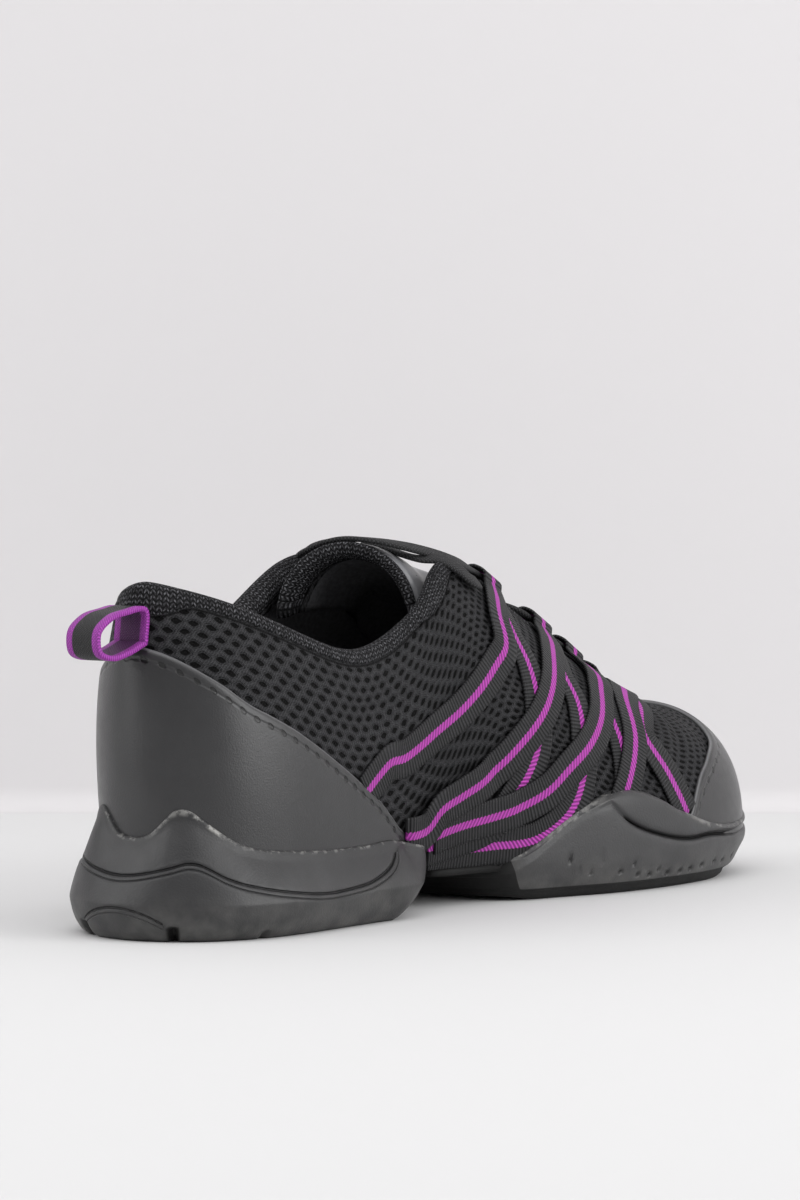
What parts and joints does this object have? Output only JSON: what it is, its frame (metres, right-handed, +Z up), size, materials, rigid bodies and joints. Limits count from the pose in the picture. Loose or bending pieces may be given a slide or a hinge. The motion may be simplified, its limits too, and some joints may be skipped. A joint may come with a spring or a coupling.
{
  "type": "dance sneaker",
  "caption": "Black split-sole dance sneaker for the left foot: mesh upper, padded collar and tongue, moulded rubber heel and front soles, striped ribbons folded into lace loops.",
  "frame": {"origin": "middle of the whole shoe in plan, on the floor under the soles", "axes": "+X along the shoe to the toe, +Y to its outer side, +Z up from the floor"},
  "size_m": [0.2712, 0.0942, 0.0998],
  "materials": {
    "mesh": "black spacer mesh with oval holes, knit edges",
    "rubber": "satin black moulded rubber",
    "coated_leather": "smooth black coated leather",
    "grosgrain": "black ribbed ribbon with a purple stripe",
    "lace": "black flat woven lace",
    "sock_lining": "black sock lining"
  },
  "bodies": {
    "root": {"upper": "mesh", "tongue": "mesh", "heel_sole": "rubber", "forefoot_sole": "rubber", "insole": "sock_lining", "heel_counter": "coated_leather", "toe_cap": "coated_leather", "laces": "lace", "pull_loop": "grosgrain", "ribbon_1_in": "grosgrain", "ribbon_2_in": "grosgrain", "ribbon_3_in": "grosgrain", "ribbon_4_in": "grosgrain", "ribbon_1_out": "grosgrain", "ribbon_2_out": "grosgrain", "ribbon_3_out": "grosgrain", "ribbon_4_out": "grosgrain"}
  },
  "joints": []
}
